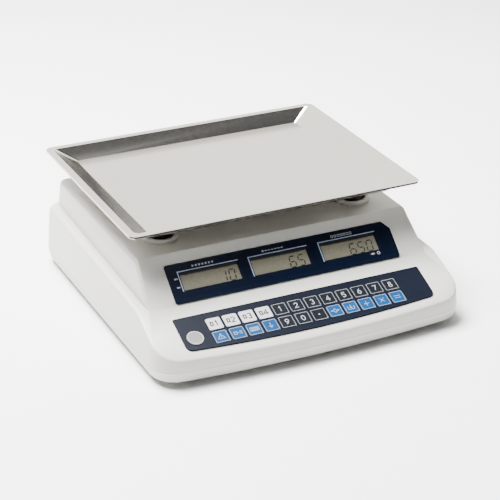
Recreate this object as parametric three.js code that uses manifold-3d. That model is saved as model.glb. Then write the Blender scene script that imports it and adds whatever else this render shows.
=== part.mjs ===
// Bench counting scale: a moulded two-part housing with a sloping keypad and a steeper display,
// a load cell carrying a four-armed platform frame, and a loose stainless steel pan on rubber cushions.
// Millimetres. X to the right, Y to the back, Z up. The origin is the middle of the footprint, on the table.

import * as THREE from "three";
import { ConvexGeometry } from "three/addons/geometries/ConvexGeometry.js";
import { mergeVertices } from "three/addons/utils/BufferGeometryUtils.js";
import Module from "manifold-3d";

// ---- driving sizes -------------------------------------------------------------------------

// Clearances
const seatGap = 0.3; // between two pieces that rest on or butt against each other
const slideGap = 0.4; // round a piece that slides or drops into an opening

// Footprint of the housing
const bodyWidth = 335;
const bodyDepth = 335;
const frontCornerRadius = 28;
const backCornerRadius = 22;
const frontBow = 9; // how far the front's middle stands ahead of its corners
const undersideHeight = 6;
const partingHeight = 16.6;
const baseTaper = 2; // how far the base's walls lean in, from the parting line to the underside
const baseEdge = 0.5;
const wallThickness = 3;

// Lower part of the top housing: a drafted skirt under a nearly level ledge
const ledgeHeight = 58.8; // at the middle of the depth
const ledgeSlope = 1.8; // degrees, rising to the back
const skirtDraft = 0.08;
const skirtFrontEdge = 3.5; // the soft top edge grows from the front
const skirtBackEdge = 5.5; // to the back

// Upper part of the top housing
const plateauHeight = 91;
const upperInset = 13; // from the footprint's side to the upper part's side, at the skirt's foot
const upperBackInset = 4;
const upperFrontInset = 59.5; // from the footprint's front to where the upper part starts
const upperCornerRadius = 13;
const upperDraft = 0.12;
const upperEdge = 4;

// Keypad panel: its origin is the middle of the keypad film's top edge
const keypadSlope = 22;
const keypadTopInset = 52.5; // from the footprint's front
const keypadTopHeight = 48.5;
const keypadSideMargin = 33.2; // from the footprint's side to the film
const keypadSideHeight = 39.5;
const keypadBulge = 6.4; // the bottom edge follows the bowed front
const keypadLowRadius = 6;
const panelTopRadius = 2.5; // at the upper corners of the film and of the lens
const filmStandOut = 0.3;
const filmThickness = 1.3;
const keyColumns = 12;
const keyRows = 2;
const keyFieldLeftMargin = 30.5; // from the film's left edge to the first key
const keyFieldRightMargin = 31.6;
const keyFieldTopMargin = 8;
const keyFieldLowMargin = 0.73; // at the film's sides, where it is shortest
const keyGapAcross = 2.8;
const keyGapDown = 2.83;
const keyThickness = 1.1;
const keyStandOut = 0.4;
const keyCornerRadius = 1.2;
const levelRadius = 8.4;
const levelSideInset = 12.8; // from the film's left edge to the level's middle
const levelUp = -27.2;
const levelFlange = 1; // how far the level's rim reaches over its hole
const levelDepth = 8;

// Display panel: its origin is the middle of the display lens's top edge
const displaySlope = 41.2;
const displayTopInset = 98; // from the footprint's front
const displayTopHeight = 82.9;
const lensSideMargin = 44.05; // from the footprint's side to the lens
const lensHeight = 41.1;
const lensThickness = 1.2;
const lensLowRadius = 3;
const lensCut = 7; // the lens's clipped top right corner
const windowLeftShares = [-0.448, -0.1418, 0.1709]; // of the lens's width, from its middle
const windowWidthShare = 0.2495;
const windowHeight = 19.4;
const windowTop = -9.6;
const lcdBorder = 2.6; // from the window's edge to the edge of the glass behind it
const lcdThickness = 6;
const mainBoardInset = 5.5; // from the lens's side to the board's
const mainBoardHeight = 40;
const boardThickness = 1.6;
const boardPlugAcross = 58;
const boardPlugDrop = 8; // from the board's middle line down to its plug
const boardPlugHeight = 7;

// Pan
const panSideInset = 8.4; // from the footprint's side to the pan's
const panOverhang = 3.6; // past the footprint's back
const panFrontInset = 90.4; // from the footprint's front to the pan's
const panStandOff = 19; // from the plateau to the pan's underside
const panRimRise = 12;
const panSideRun = 20.9; // how far the rim spreads as it rises, at the sides
const panEndRun = 12; // and at the front and back
const panLip = 7.7;
const panThickness = 1;
const panCornerRadius = 8;

// Platform frame, cushions and the collars they stand in
const postSideInset = 59.8; // from the footprint's side to the post's middle
const postEndInset = 45.2; // from the plateau's front or back edge to the post's middle
const postRadius = 7;
const armWidth = 18;
const armThickness = 5;
const cushionRadius = 12;
const cushionHeight = 16;
const cushionTopThickness = 5;
const collarClearance = 2.5; // from a cushion to the collar round it
const collarWall = 4;
const collarHeight = 3;
const collarShoulder = 1.2; // the sloped top of the collar

// Load cell
const cellLength = 130;
const cellWidth = 30;
const cellHeight = 22;
const plinthHeight = 6; // of the seat on the housing's floor
const frameBossHeight = 6;
const cellScrewInset = 10; // from the cell's end to its first screw
const cellScrewPitch = 15;
const cellSeatLength = 34;
const cellBackShift = 1; // from the plateau's middle to the load cell's and the frame's
const cellScrewRadius = 3;

// Feet
const footInset = 34; // from the footprint's sides
const soleRadius = 12;
const soleHeight = 3;
const knobRadius = 15;
const knobHeight = 6;
const footStudRadius = 4;
const footStudLength = 18;
const footRise = 3; // how far a foot can be screwed in

// Battery and its door
const batteryLength = 101;
const batteryWidth = 47;
const batteryHeight = 47;
const batteryFrontInset = 89.5;
const doorOverlap = 6;
const doorThickness = 1.2;
const doorTravel = 12;

// Power bay in the back wall
const bayWidth = 76;
const bayHeight = 28;
const bayAcross = 90;
const bayFloorInset = 8;
const switchAcross = 74;
const socketAcross = 108;
const switchHeight = 38;
const switchTilt = 10; // degrees each side of level
const switchFlangeWidth = 15;
const switchFlangeHeight = 21;
const flangeThickness = 1.6;
const flangeLap = 1; // how far a flange reaches over its cut-out
const socketFlangeRadius = 6.5;
const socketBore = 3.1;

// Screws that pull the two housing parts together
const housingScrewAcross = 28;
const housingScrewInset = 14.5; // from the back
const housingScrewRadius = 2;
const housingPostRadius = 5;

// ---- sizes that follow ---------------------------------------------------------------------

const front = -bodyDepth / 2;
const back = bodyDepth / 2;
const floorTop = undersideHeight + wallThickness;
const housingFoot = partingHeight + seatGap;
const platformCentreY = (front + displayTopInset + back - upperBackInset) / 2 + cellBackShift;
const postAcross = bodyWidth / 2 - postSideInset;
const postAlong = (back - upperBackInset - front - displayTopInset) / 2 - postEndInset;
const panWidth = bodyWidth - 2 * panSideInset;
const panDepth = bodyDepth - panFrontInset + panOverhang;
const panCentreY = back + panOverhang - panDepth / 2;
const keypadWidth = bodyWidth - 2 * keypadSideMargin;
const keyFieldWidth = keypadWidth - keyFieldLeftMargin - keyFieldRightMargin;
const keyFieldHeight = keypadSideHeight - keyFieldTopMargin - keyFieldLowMargin;
const keyPitchAcross = (keyFieldWidth + keyGapAcross) / keyColumns;
const keyPitchDown = (keyFieldHeight + keyGapDown) / keyRows;
const keyWidth = keyPitchAcross - keyGapAcross;
const keyHeight = keyPitchDown - keyGapDown;
const levelAcross = levelSideInset - keypadWidth / 2;
const lensWidth = bodyWidth - 2 * lensSideMargin;
const windowLefts = windowLeftShares.map((share) => share * lensWidth);
const windowWidth = windowWidthShare * lensWidth;
const mainBoardWidth = lensWidth - 2 * mainBoardInset;
const keyPocketDepth = filmThickness - filmStandOut + seatGap;
const lensPocketDepth = lensThickness - filmStandOut + seatGap;
const cellBottom = floorTop + plinthHeight + seatGap;
const cellTop = cellBottom + cellHeight;
const panFloorHeight = plateauHeight + panStandOff;
const collarInnerRadius = cushionRadius + collarClearance;
const collarOuterRadius = collarInnerRadius + collarWall;
const frameBottom = cellTop + seatGap + frameBossHeight;
const cushionTop = panFloorHeight - seatGap;
const footX = bodyWidth / 2 - footInset;
const footY = bodyDepth / 2 - footInset;

// ---- helpers -------------------------------------------------------------------------------

const wasm = await Module();
wasm.setup();

const turn = THREE.MathUtils.degToRad;

function solidOf(geometry) {
  const bare = geometry.clone();
  bare.deleteAttribute("normal");
  bare.deleteAttribute("uv");
  const merged = mergeVertices(bare, 1e-4);
  return new wasm.Manifold(new wasm.Mesh({
    numProp: 3,
    vertProperties: new Float32Array(merged.attributes.position.array),
    triVerts: new Uint32Array(merged.index.array),
  }));
}

function geometryOf(solid) {
  const data = solid.getMesh();
  const geometry = new THREE.BufferGeometry();
  geometry.setAttribute("position", new THREE.BufferAttribute(data.vertProperties, 3));
  geometry.setIndex(new THREE.BufferAttribute(data.triVerts, 1));
  geometry.computeVertexNormals();
  return geometry;
}

function join(first, ...others) {
  return geometryOf(others.reduce((sum, each) => sum.add(solidOf(each)), solidOf(first)));
}

function cut(first, ...others) {
  return geometryOf(others.reduce((rest, each) => rest.subtract(solidOf(each)), solidOf(first)));
}

function common(first, second) {
  return geometryOf(solidOf(first).intersect(solidOf(second)));
}

// A box given by its middle in x and y, and its bottom.
function block(x, y, bottom, width, depth, height) {
  return new THREE.BoxGeometry(width, depth, height).translate(x, y, bottom + height / 2);
}

// An upright cylinder given by its axis, its bottom and its height.
function rod(x, y, bottom, radius, height, sides = 24) {
  return new THREE.CylinderGeometry(radius, radius, height, sides)
    .rotateX(Math.PI / 2)
    .translate(x, y, bottom + height / 2);
}

// A flat plate cut from an outline, with its underside at the given height.
function plate(shape, bottom, thickness, curveSegments = 6) {
  return new THREE.ExtrudeGeometry(shape, { depth: thickness, bevelEnabled: false, curveSegments })
    .translate(0, 0, bottom);
}

// A solid of revolution from [radius, height] pairs that start and end on the axis.
function turned(profile, sides = 24) {
  const points = profile.map(([radius, height]) => new THREE.Vector2(radius, height));
  return new THREE.LatheGeometry(points, sides).rotateX(Math.PI / 2);
}

function roundedOutline(left, bottom, width, height, radius, target = new THREE.Shape()) {
  const right = left + width;
  const top = bottom + height;
  target.moveTo(left + radius, bottom);
  target.lineTo(right - radius, bottom);
  target.absarc(right - radius, bottom + radius, radius, -Math.PI / 2, 0);
  target.lineTo(right, top - radius);
  target.absarc(right - radius, top - radius, radius, 0, Math.PI / 2);
  target.lineTo(left + radius, top);
  target.absarc(left + radius, top - radius, radius, Math.PI / 2, Math.PI);
  target.lineTo(left, bottom + radius);
  target.absarc(left + radius, bottom + radius, radius, Math.PI, 1.5 * Math.PI);
  return target;
}

function finish(color, roughness, metalness = 0) {
  return new THREE.MeshStandardMaterial({ color, roughness, metalness });
}

function piece(name, geometry, material) {
  const mesh = new THREE.Mesh(geometry, material);
  mesh.name = name;
  return mesh;
}

// ---- the housing's outer and inner forms -----------------------------------------------------

// Plan outline with its outward direction at each point. The front edge is bowed. Each side has one
// more point where the top folds.
function planOutline({ halfWidth, frontY, backY, frontRadius, backRadius, bow }, foldY) {
  const points = [];
  const cornerSteps = 5;
  const frontSteps = 10;
  const inner = halfWidth - frontRadius;
  const bowAt = (x) => frontY + bow * (x / halfWidth) ** 2;
  const put = (x, y, degrees) => {
    points.push({ x, y, outX: Math.cos(turn(degrees)), outY: Math.sin(turn(degrees)) });
  };
  for (let i = 0; i <= frontSteps; i += 1) {
    const x = -inner + (2 * inner * i) / frontSteps;
    put(x, bowAt(x), -90);
  }
  const corners = [
    { x: inner, y: bowAt(inner) + frontRadius, radius: frontRadius, from: -90 },
    { x: halfWidth - backRadius, y: backY - backRadius, radius: backRadius, from: 0 },
    { x: backRadius - halfWidth, y: backY - backRadius, radius: backRadius, from: 90 },
    { x: -inner, y: bowAt(inner) + frontRadius, radius: frontRadius, from: 180 },
  ];
  for (const { x, y, radius, from } of corners) {
    for (let i = 0; i <= cornerSteps; i += 1) {
      const degrees = from + (90 * i) / cornerSteps;
      put(x + radius * Math.cos(turn(degrees)), y + radius * Math.sin(turn(degrees)), degrees);
    }
  }
  if (foldY !== undefined) {
    put(halfWidth, foldY, 0);
    put(-halfWidth, foldY, 180);
  }
  return points;
}

// Where a rising plane meets the plane behind it. Both heights are straight lines in y.
function foldBetween(frontPlane, backPlane) {
  const lead = (y) => frontPlane(y) - backPlane(y);
  return -lead(0) / (lead(1) - lead(0));
}

// A convex block: drafted walls on a plan outline, a top made of two planes, and a soft top edge.
function softBlock({ plan, bottom, foot, frontPlane, backPlane, draft, edgeAt, shrink }) {
  const topAt = (y) => Math.min(frontPlane(y, shrink), backPlane(y, shrink));
  const foldY = foldBetween((y) => frontPlane(y, shrink), (y) => backPlane(y, shrink));
  const outline = planOutline(plan, foldY);
  const points = outline.map(({ x, y, outX, outY }) =>
    new THREE.Vector3(x - outX * shrink, y - outY * shrink, bottom));
  for (const degrees of [0, 30, 60, 90]) {
    for (const { x, y, outX, outY } of outline) {
      const edge = edgeAt(y) - shrink;
      const z = topAt(y) - edge * (1 - Math.sin(turn(degrees)));
      const inset = shrink + Math.max(z - foot, 0) * draft + edge * (1 - Math.cos(turn(degrees)));
      points.push(new THREE.Vector3(x - outX * inset, y - outY * inset, z));
    }
  }
  return new ConvexGeometry(points);
}

// Height of a plane that slopes up to the back, lowered square to itself by an inset.
function planeHeight(y, originY, originZ, slope, inset) {
  return originZ + Math.tan(turn(slope)) * (y - originY) - inset / Math.cos(turn(slope));
}

function keypadPlane(y, inset = 0) {
  return planeHeight(y, front + keypadTopInset, keypadTopHeight, keypadSlope, inset);
}

function displayPlane(y, inset = 0) {
  return planeHeight(y, front + displayTopInset, displayTopHeight, displaySlope, inset);
}

function skirtForm(shrink, bottom) {
  return softBlock({
    plan: {
      halfWidth: bodyWidth / 2,
      frontY: front,
      backY: back,
      frontRadius: frontCornerRadius,
      backRadius: backCornerRadius,
      bow: frontBow,
    },
    bottom,
    foot: housingFoot,
    frontPlane: keypadPlane,
    backPlane: (y, inset) => planeHeight(y, 0, ledgeHeight, ledgeSlope, inset),
    draft: skirtDraft,
    edgeAt: (y) => skirtFrontEdge + ((skirtBackEdge - skirtFrontEdge) * (y - front)) / bodyDepth,
    shrink,
  });
}

function upperForm(shrink, bottom) {
  return softBlock({
    plan: {
      halfWidth: bodyWidth / 2 - upperInset,
      frontY: front + upperFrontInset,
      backY: back - upperBackInset,
      frontRadius: upperCornerRadius,
      backRadius: upperCornerRadius,
      bow: 0,
    },
    bottom,
    foot: bottom,
    frontPlane: displayPlane,
    backPlane: (y, inset) => plateauHeight - inset,
    draft: upperDraft,
    edgeAt: () => upperEdge,
    shrink,
  });
}

// Outline of the keypad film: straight top, bottom edge bowed like the front.
function keypadOutline(grow) {
  const half = keypadWidth / 2 + grow;
  const low = -keypadSideHeight - grow;
  const cornerDrop = 1; // the bowed bottom edge starts this much below the corners' level
  const shape = new THREE.Shape();
  shape.moveTo(-half + panelTopRadius, grow);
  shape.quadraticCurveTo(-half, grow, -half, grow - panelTopRadius);
  shape.lineTo(-half, low + keypadLowRadius);
  shape.quadraticCurveTo(-half, low, -half + keypadLowRadius, low - cornerDrop);
  shape.quadraticCurveTo(0, low - 2 * keypadBulge + cornerDrop, half - keypadLowRadius, low - cornerDrop);
  shape.quadraticCurveTo(half, low, half, low + keypadLowRadius);
  shape.lineTo(half, grow - panelTopRadius);
  shape.quadraticCurveTo(half, grow, half - panelTopRadius, grow);
  return shape;
}

// Outline of the display lens: rounded corners, and the top right one clipped.
function lensOutline(grow) {
  const half = lensWidth / 2 + grow;
  const low = -lensHeight - grow;
  const cutSteepness = 1.3;
  const shape = new THREE.Shape();
  shape.moveTo(-half + panelTopRadius, grow);
  shape.quadraticCurveTo(-half, grow, -half, grow - panelTopRadius);
  shape.lineTo(-half, low + lensLowRadius);
  shape.quadraticCurveTo(-half, low, -half + lensLowRadius, low);
  shape.lineTo(half - lensLowRadius, low);
  shape.quadraticCurveTo(half, low, half, low + lensLowRadius);
  shape.lineTo(half, grow - lensCut * cutSteepness);
  shape.lineTo(half - lensCut, grow);
  return shape;
}

// Puts a geometry drawn on a sloping panel into the scale's own frame.
function onKeypad(geometry) {
  return geometry.rotateX(turn(keypadSlope)).translate(0, front + keypadTopInset, keypadTopHeight);
}

function onDisplay(geometry) {
  return geometry.rotateX(turn(displaySlope)).translate(0, front + displayTopInset, displayTopHeight);
}

function keyCentres() {
  const centres = [];
  for (let row = 0; row < keyRows; row += 1) {
    for (let column = 0; column < keyColumns; column += 1) {
      centres.push({
        x: keyFieldLeftMargin - keypadWidth / 2 + column * keyPitchAcross + keyWidth / 2,
        y: -keyFieldTopMargin - row * keyPitchDown - keyHeight / 2,
      });
    }
  }
  return centres;
}

function postCentres() {
  return [
    ["front_left", -postAcross, platformCentreY - postAlong],
    ["front_right", postAcross, platformCentreY - postAlong],
    ["back_left", -postAcross, platformCentreY + postAlong],
    ["back_right", postAcross, platformCentreY + postAlong],
  ];
}

function footCentres() {
  return [
    ["front_left", -footX, -footY],
    ["front_right", footX, -footY],
    ["back_left", -footX, footY],
    ["back_right", footX, footY],
  ];
}

function cellScrewYs(end) {
  const outer = platformCentreY + end * (cellLength / 2 - cellScrewInset);
  return [outer, outer - end * cellScrewPitch];
}

function batteryCentreY() {
  return front + batteryFrontInset + batteryWidth / 2;
}

// ---- top housing -----------------------------------------------------------------------------

function collar(x, y) {
  const outer = rod(x, y, plateauHeight - wallThickness, collarOuterRadius, wallThickness + collarHeight, 32);
  const shoulder = new THREE.CylinderGeometry(
    collarOuterRadius - collarShoulder, collarOuterRadius, collarShoulder, 32)
    .rotateX(Math.PI / 2)
    .translate(x, y, plateauHeight + collarHeight + collarShoulder / 2);
  return join(outer, shoulder);
}

function powerBay() {
  const floorY = back - bayFloorInset;
  const rim = wallThickness;
  const bottom = switchHeight - bayHeight / 2;
  const pastWall = 20; // long enough to reach through the back wall
  const outer = block(
    bayAcross, floorY - rim + pastWall / 2, bottom - rim, bayWidth + 2 * rim, pastWall, bayHeight + 2 * rim);
  const hollow = block(bayAcross, floorY + pastWall / 2, bottom, bayWidth, pastWall, bayHeight);
  return { outer, hollow };
}

function topHousing() {
  const upperSink = 14; // how far the upper part reaches down into the skirt
  const hollowSink = 30; // how far its hollow reaches down, to open into the skirt's
  const skirt = skirtForm(0, housingFoot);
  const upper = upperForm(0, ledgeHeight - upperSink);
  const skirtHollow = skirtForm(wallThickness, housingFoot - 1);
  const upperHollow = upperForm(wallThickness, ledgeHeight - hollowSink);
  const outside = join(skirt, upper);
  const bay = powerBay();
  let body = cut(outside, skirtHollow, upperHollow);
  body = join(body, common(bay.outer, outside), ...postCentres().map(([, x, y]) => collar(x, y)));
  const postTop = ledgeHeight - 5; // just inside the ledge's skin
  const ribDepth = 10;
  const boreDepth = 24;
  for (const side of [-1, 1]) {
    const x = side * housingScrewAcross;
    const y = back - housingScrewInset;
    const post = rod(x, y, housingFoot, housingPostRadius, postTop - housingFoot, 20);
    const rib = block(x, y + ribDepth / 2, housingFoot, 2, ribDepth, postTop - housingFoot);
    body = join(body, common(join(post, rib), outside));
  }
  const bores = [-1, 1].map((side) => rod(
    side * housingScrewAcross, back - housingScrewInset, housingFoot - 1,
    housingScrewRadius + seatGap, boreDepth, 16));
  const armHoles = postCentres().map(([, x, y]) => rod(
    x, y, plateauHeight - 2 * wallThickness, collarInnerRadius, 20, 32));
  const pocketReach = 6; // a pocket is cut from its floor to well outside the panel
  const throughPanel = 3 * wallThickness; // deep enough to pass through the panel's wall
  const keyPocket = onKeypad(plate(keypadOutline(slideGap), -keyPocketDepth, pocketReach));
  const lensPocket = onDisplay(plate(lensOutline(slideGap), -lensPocketDepth, pocketReach));
  const levelHole = onKeypad(rod(
    levelAcross, levelUp, -throughPanel, levelRadius - levelFlange, throughPanel + 3, 32));
  const lcdHoles = windowLefts.map((left) => onDisplay(block(
    left + windowWidth / 2, windowTop - windowHeight / 2, -throughPanel,
    windowWidth + 2 * lcdBorder + 2 * slideGap, windowHeight + 2 * lcdBorder + 2 * slideGap,
    throughPanel + 1)));
  return cut(
    body, bay.hollow, ...bores, ...armHoles, keyPocket, lensPocket, levelHole, ...lcdHoles,
    switchCutout(), socketCutout());
}

function switchCutout() {
  return block(
    switchAcross, back - bayFloorInset, switchHeight - switchFlangeHeight / 2 + flangeLap,
    switchFlangeWidth - 2 * flangeLap, 4 * wallThickness, switchFlangeHeight - 2 * flangeLap);
}

function socketCutout() {
  const radius = socketFlangeRadius - flangeLap;
  return new THREE.CylinderGeometry(radius, radius, 4 * wallThickness, 24)
    .translate(socketAcross, back - bayFloorInset, switchHeight);
}

// ---- base shell ------------------------------------------------------------------------------

// Door hooks: where they stand along the two long edges of the battery opening.
function doorHookXs() {
  const endSpace = 12; // from the battery's end to the first hook
  const span = batteryLength / 2 - endSpace;
  return [-span, span - doorTravel];
}

function baseShell() {
  const plan = {
    halfWidth: bodyWidth / 2,
    frontY: front,
    backY: back,
    frontRadius: frontCornerRadius,
    backRadius: backCornerRadius,
    bow: frontBow,
  };
  const outline = planOutline(plan);
  const ring = (inset, z) => outline.map(({ x, y, outX, outY }) =>
    new THREE.Vector3(x - outX * inset, y - outY * inset, z));
  const outer = new ConvexGeometry([
    ...ring(baseTaper + baseEdge, undersideHeight),
    ...ring(baseTaper, undersideHeight + baseEdge),
    ...ring(0, partingHeight),
  ]);
  const inner = new ConvexGeometry([
    ...ring(wallThickness + baseTaper, floorTop),
    ...ring(wallThickness, partingHeight + 1),
  ]);
  const cupRoof = 2.5;
  const knobSpace = 2.5; // round and over a screwed-in foot's knob
  const studBossRadius = footStudRadius + 4;
  const studBossHeight = 12;
  const cupDepth = knobHeight + soleHeight + seatGap + footRise + 1 - undersideHeight;
  const cupTop = undersideHeight + cupDepth;
  const footCups = footCentres().flatMap(([, x, y]) => [
    rod(x, y, undersideHeight, knobRadius + 2 * knobSpace, cupDepth + cupRoof, 20),
    rod(x, y, cupTop, studBossRadius, studBossHeight, 12),
  ]);
  const footBores = footCentres().flatMap(([, x, y]) => [
    rod(x, y, undersideHeight - 1, knobRadius + knobSpace, cupDepth + 1, 24),
    rod(x, y, cupTop - 1, footStudRadius + 1.5 * seatGap, studBossHeight + 2, 12),
  ]);
  const plinthY = platformCentreY - cellLength / 2 + cellSeatLength / 2;
  const plinth = block(0, plinthY, floorTop - 1, cellWidth + 8, cellSeatLength + 6, plinthHeight + 1);
  const cellBores = cellScrewYs(-1).flatMap((y) => [
    rod(0, y, undersideHeight - 1, cellScrewRadius + 1.5 * seatGap, 20, 12),
    rod(0, y, undersideHeight - 1, 2 * cellScrewRadius, 5, 16),
  ]);
  const screwY = back - housingScrewInset;
  const screwPosts = [-1, 1].map((side) =>
    rod(side * housingScrewAcross, screwY, floorTop - 1, housingPostRadius, partingHeight - floorTop + 1, 20));
  const screwBores = [-1, 1].flatMap((side) => [
    rod(side * housingScrewAcross, screwY, undersideHeight - 1, housingScrewRadius + seatGap, 20, 16),
    rod(side * housingScrewAcross, screwY, undersideHeight - 1, 2 * housingScrewRadius + seatGap, 4, 20),
  ]);
  const tongueReach = 4; // past the parting line, inside the top housing
  const tongueSpread = 90;
  const tongues = [-tongueSpread, 0, tongueSpread].map((x) => block(
    x, front + frontBow * (x / plan.halfWidth) ** 2 + 2 * wallThickness + 1, floorTop - 1,
    24, 2, partingHeight - floorTop + 1 + tongueReach));
  const batteryY = batteryCentreY();
  const opening = block(
    0, batteryY, undersideHeight - 1, batteryLength + 2, batteryWidth + 2, wallThickness + 2);
  const notches = doorHookXs().flatMap((x) => [-1, 1].map((side) => block(
    x + doorTravel, batteryY + side * (batteryWidth / 2 + 2), undersideHeight - 1, 9, 5, wallThickness + 2)));
  const doorRecess = block(
    doorTravel / 2, batteryY, undersideHeight - 1,
    batteryLength + 2 * doorOverlap + doorTravel + 2 * slideGap,
    batteryWidth + 2 * doorOverlap + 2 * slideGap, 1 + doorThickness + seatGap);
  const keepSpace = 6; // from the battery's side to the wall that keeps it in place
  const keeps = [-1, 1].map((side) => block(
    0, batteryY + side * (batteryWidth / 2 + keepSpace), floorTop - 1, batteryLength - 20, 2, 12));
  const tray = join(cut(outer, inner), ...footCups, plinth, ...screwPosts, ...tongues, ...keeps);
  return cut(tray, ...footBores, ...cellBores, ...screwBores, opening, ...notches, doorRecess);
}

function batteryDoor() {
  const y = batteryCentreY();
  const bottom = undersideHeight;
  const length = batteryLength + 2 * doorOverlap;
  const depth = batteryWidth + 2 * doorOverlap;
  const shape = roundedOutline(-length / 2, y - depth / 2, length, depth, 2);
  const hookReach = 3;
  const hookThickness = 1.4;
  const stemBottom = bottom + doorThickness - 0.2;
  const stemHeight = floorTop + seatGap + hookThickness - stemBottom;
  const hooks = doorHookXs().flatMap((x) => [-1, 1].flatMap((side) => [
    block(x, y + side * (batteryWidth / 2 - 0.6), stemBottom, 7, 1.6, stemHeight),
    block(x, y + side * (batteryWidth / 2 - 0.6 + hookReach / 2), floorTop + seatGap,
      7, hookReach + 1, hookThickness),
  ]));
  const grips = [0, 1, 2, 3].map((i) => block(length / 2 - 8 - i * 3, y, bottom - 0.6, 1.2, 20, 1));
  return join(plate(shape, bottom, doorThickness, 4), ...hooks, ...grips);
}

// ---- keypad and display ------------------------------------------------------------------------

function keypadFilm() {
  const shape = new THREE.Shape(keypadOutline(0).getPoints(8));
  for (const { x, y } of keyCentres()) {
    const hole = roundedOutline(
      x - keyWidth / 2 - slideGap, y - keyHeight / 2 - slideGap,
      keyWidth + 2 * slideGap, keyHeight + 2 * slideGap, keyCornerRadius);
    shape.holes.push(new THREE.Path(hole.getPoints(1)));
  }
  const levelHole = new THREE.Path();
  levelHole.absarc(levelAcross, levelUp, levelRadius - levelFlange, 0, 2 * Math.PI, false);
  shape.holes.push(new THREE.Path(levelHole.getPoints(14)));
  return plate(shape, filmStandOut - filmThickness, filmThickness);
}

function keyCap(x, y) {
  const shape = roundedOutline(x - keyWidth / 2, y - keyHeight / 2, keyWidth, keyHeight, keyCornerRadius);
  return plate(shape, keyStandOut - keyThickness, keyThickness, 1);
}

function displayLens() {
  const shape = lensOutline(0);
  for (const left of windowLefts) {
    const hole = new THREE.Path();
    roundedOutline(left, windowTop - windowHeight, windowWidth, windowHeight, 0.8, hole);
    shape.holes.push(hole);
  }
  return plate(shape, filmStandOut - lensThickness, lensThickness, 3);
}

function lcdModule(left) {
  const top = -lensPocketDepth;
  const width = windowWidth + 2 * lcdBorder;
  const height = windowHeight + 2 * lcdBorder;
  return block(
    left + windowWidth / 2, windowTop - windowHeight / 2, top - lcdThickness, width, height, lcdThickness);
}

function mainBoard() {
  const top = -lensPocketDepth - lcdThickness - seatGap;
  const middle = windowTop - windowHeight / 2;
  const board = block(0, middle, top - boardThickness, mainBoardWidth, mainBoardHeight, boardThickness);
  const chip = block(30, middle + 4, top - boardThickness - 2, 14, 14, 2.5);
  const plug = block(
    boardPlugAcross, middle - boardPlugDrop, top - boardThickness - boardPlugHeight, 12, 6, boardPlugHeight + 0.5);
  const capacitor = rod(-78, middle - 6, top - boardThickness - 11, 5, 11.5, 20);
  return join(board, chip, plug, capacitor);
}

function bubbleLevel() {
  const faceBottom = filmStandOut + seatGap;
  const vialRadius = levelRadius - levelFlange - slideGap;
  return turned([
    [0, faceBottom - levelDepth],
    [vialRadius, faceBottom - levelDepth],
    [vialRadius, faceBottom],
    [levelRadius, faceBottom],
    [levelRadius, faceBottom + 0.3],
    [levelRadius - 0.4, faceBottom + 0.6],
    [0, faceBottom + 0.6],
  ], 28).translate(levelAcross, levelUp, 0);
}

// ---- weighing parts ----------------------------------------------------------------------------

function ringPlan(width, depth, radius) {
  const halfX = width / 2 - radius;
  const halfY = depth / 2 - radius;
  const points = [];
  for (const [x, y, from] of [[halfX, halfY, 0], [-halfX, halfY, 90], [-halfX, -halfY, 180], [halfX, -halfY, 270]]) {
    for (let i = 0; i <= 4; i += 1) {
      const angle = turn(from + 22.5 * i);
      points.push([x + radius * Math.cos(angle), panCentreY + y + radius * Math.sin(angle)]);
    }
  }
  return points;
}

function panTray() {
  const level = (width, depth, radius, z) =>
    ringPlan(width, depth, radius).map(([x, y]) => new THREE.Vector3(x, y, z));
  const mouthWidth = panWidth - 2 * panLip;
  const mouthDepth = panDepth - 2 * panLip;
  const floorWidth = mouthWidth - 2 * panSideRun;
  const floorDepth = mouthDepth - 2 * panEndRun;
  const lipTop = panFloorHeight + panThickness + panRimRise;
  const slopeShift = 0.55 * panThickness; // the rim's sheet thickness, taken sideways
  const foldRadius = 3;
  const mouthRadius = 5;
  const outer = new ConvexGeometry([
    ...level(floorWidth, floorDepth, foldRadius, panFloorHeight),
    ...level(mouthWidth + 2 * slopeShift, mouthDepth + 2 * slopeShift, mouthRadius, lipTop - 0.2),
  ]);
  const inner = new ConvexGeometry([
    ...level(floorWidth - 2 * slopeShift, floorDepth - 2 * slopeShift, foldRadius, panFloorHeight + panThickness),
    ...level(mouthWidth, mouthDepth, mouthRadius, lipTop),
    ...level(mouthWidth, mouthDepth, mouthRadius, lipTop + 1),
  ]);
  const lip = new ConvexGeometry([
    ...level(panWidth - 0.6, panDepth - 0.6, panCornerRadius - 0.3, lipTop - panThickness - 1.2),
    ...level(panWidth, panDepth, panCornerRadius, lipTop - panThickness - 0.6),
    ...level(panWidth - 1, panDepth - 1, panCornerRadius - 0.5, lipTop),
  ]);
  const lipHollow = new ConvexGeometry([
    ...level(panWidth - 2.4, panDepth - 2.4, panCornerRadius - 1.2, lipTop - panThickness - 2),
    ...level(panWidth - 2.4, panDepth - 2.4, panCornerRadius - 1.2, lipTop - panThickness),
  ]);
  return cut(join(cut(lip, lipHollow), outer), inner);
}

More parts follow.
